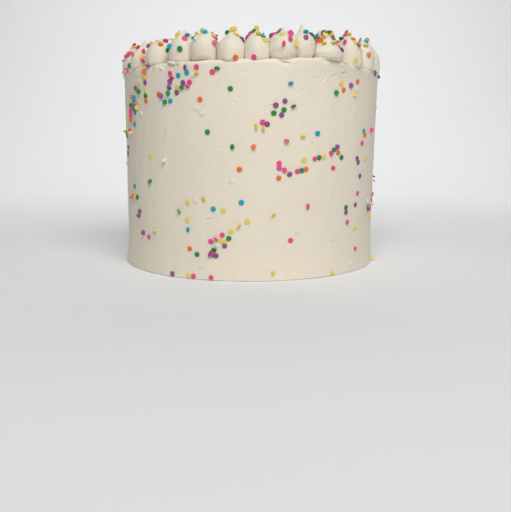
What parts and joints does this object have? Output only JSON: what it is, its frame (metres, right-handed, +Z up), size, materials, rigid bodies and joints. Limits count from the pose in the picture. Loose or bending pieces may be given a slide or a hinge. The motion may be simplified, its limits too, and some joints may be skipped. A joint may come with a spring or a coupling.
{
  "type": "layer cake",
  "caption": "Tall round iced layer cake, uncut, with a ring of piped dollops round its top edge and confetti sprinkles on its side and crown.",
  "frame": {"origin": "middle of the flat underside, where the cake rests on its board or plate", "axes": "+Z up along the cake's axis; -Y is the side that faces the picture's camera, +X its right"},
  "size_m": [0.2208, 0.2208, 0.1863],
  "materials": {
    "smooth_buttercream": "satin",
    "piped_buttercream": "satin",
    "pink_sprinkles": "satin",
    "orange_sprinkles": "satin",
    "yellow_sprinkles": "satin",
    "green_sprinkles": "satin",
    "blue_sprinkles": "satin",
    "violet_sprinkles": "satin",
    "white_sprinkles": "satin"
  },
  "bodies": {
    "root": {"cake": "smooth_buttercream", "dollop_01": "piped_buttercream", "dollop_02": "piped_buttercream", "dollop_03": "piped_buttercream", "dollop_04": "piped_buttercream", "dollop_05": "piped_buttercream", "dollop_06": "piped_buttercream", "dollop_07": "piped_buttercream", "dollop_08": "piped_buttercream", "dollop_09": "piped_buttercream", "dollop_10": "piped_buttercream", "dollop_11": "piped_buttercream", "dollop_12": "piped_buttercream", "dollop_13": "piped_buttercream", "dollop_14": "piped_buttercream", "dollop_15": "piped_buttercream", "dollop_16": "piped_buttercream", "dollop_17": "piped_buttercream", "dollop_18": "piped_buttercream", "dollop_19": "piped_buttercream", "dollop_20": "piped_buttercream", "dollop_21": "piped_buttercream", "dollop_22": "piped_buttercream", "dollop_23": "piped_buttercream", "dollop_24": "piped_buttercream", "dollop_25": "piped_buttercream", "dollop_26": "piped_buttercream", "dollop_27": "piped_buttercream", "dollop_28": "piped_buttercream", "dollop_29": "piped_buttercream", "dollop_30": "piped_buttercream"}
  },
  "joints": []
}
